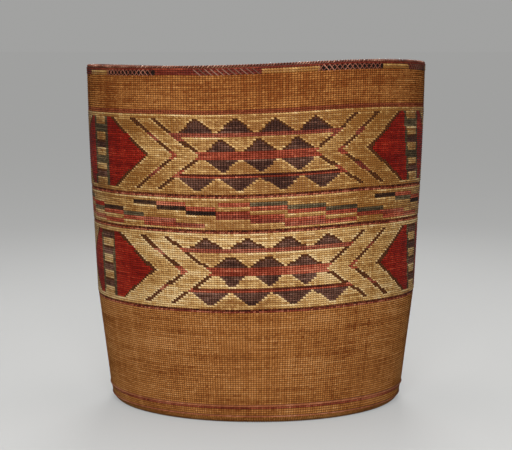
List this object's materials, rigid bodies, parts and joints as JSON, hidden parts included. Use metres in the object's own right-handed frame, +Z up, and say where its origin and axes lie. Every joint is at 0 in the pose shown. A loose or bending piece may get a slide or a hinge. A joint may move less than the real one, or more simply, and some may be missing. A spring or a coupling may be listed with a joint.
{
  "type": "twined cooking basket",
  "caption": "Open round basket of twined root with a flat base, flaring wall, corded rim and embroidered geometric bands.",
  "frame": {"origin": "centre of the flat underside, on the surface the basket stands on", "axes": "+Z up through the mouth, -Y towards the pictured front, +X to the picture's right"},
  "size_m": [0.3412, 0.3398, 0.3444],
  "materials": {
    "root": "matte split spruce root, orange tan",
    "inner_root": "matte split root, inside face",
    "bare_root": "matte whole root strands",
    "dyed_root": "matte root dyed dark red",
    "cord_root": "matte reddish-brown twisted edge",
    "straw_grass": "satin bleached grass",
    "red_grass": "satin grass dyed red",
    "dark_grass": "satin grass dyed brown-black",
    "maroon_grass": "satin grass dyed maroon",
    "green_grass": "satin grass dyed green-black"
  },
  "bodies": {
    "root": {"back_side_stairs": "maroon_grass", "back_stairs": "red_grass", "base_courses": "root", "dyed_rows_high": "dyed_root", "dyed_rows_low": "dyed_root", "dyed_rows_middle": "dyed_root", "foot_courses": "root", "foot_ridge_lower": "dyed_root", "foot_ridge_upper": "dyed_root", "front_side_stairs": "maroon_grass", "front_stairs": "red_grass", "inner_base_courses": "inner_root", "inner_courses": "inner_root", "lower_band_courses": "root", "lower_band_front_divider": "green_grass", "lower_band_front_figure": "dark_grass", "lower_band_front_left_chevron": "dark_grass", "lower_band_front_left_triangle": "red_grass", "lower_band_front_right_chevron": "dark_grass", "lower_band_front_right_triangle": "red_grass", "lower_band_ground": "straw_grass", "lower_band_left_divider": "green_grass", "lower_band_left_figure": "dark_grass", "lower_band_left_left_chevron": "dark_grass", "lower_band_left_left_triangle": "red_grass", "lower_band_left_right_chevron": "dark_grass", "lower_band_left_right_triangle": "red_grass", "lower_band_right_divider": "green_grass", "lower_band_right_figure": "dark_grass", "lower_band_right_left_chevron": "dark_grass", "lower_band_right_left_triangle": "red_grass", "lower_band_right_right_chevron": "dark_grass", "lower_band_right_right_triangle": "red_grass", "lower_wall_courses": "root", "middle_band_courses": "root", "middle_band_ground": "straw_grass", "rim_cord": "cord_root", "rim_rows_overlay": "straw_grass", "upper_band_courses": "root", "upper_band_front_divider": "green_grass", "upper_band_front_figure": "dark_grass", "upper_band_front_left_chevron": "dark_grass", "upper_band_front_left_triangle": "red_grass", "upper_band_front_right_chevron": "dark_grass", "upper_band_front_right_triangle": "red_grass", "upper_band_ground": "straw_grass", "upper_band_left_divider": "green_grass", "upper_band_left_figure": "dark_grass", "upper_band_left_left_chevron": "dark_grass", "upper_band_left_left_triangle": "red_grass", "upper_band_left_right_chevron": "dark_grass", "upper_band_left_right_triangle": "red_grass", "upper_band_right_divider": "green_grass", "upper_band_right_figure": "dark_grass", "upper_band_right_left_chevron": "dark_grass", "upper_band_right_left_triangle": "red_grass", "upper_band_right_right_chevron": "dark_grass", "upper_band_right_right_triangle": "red_grass", "upper_wall_courses": "root", "warp_frame": "bare_root"}
  },
  "joints": []
}
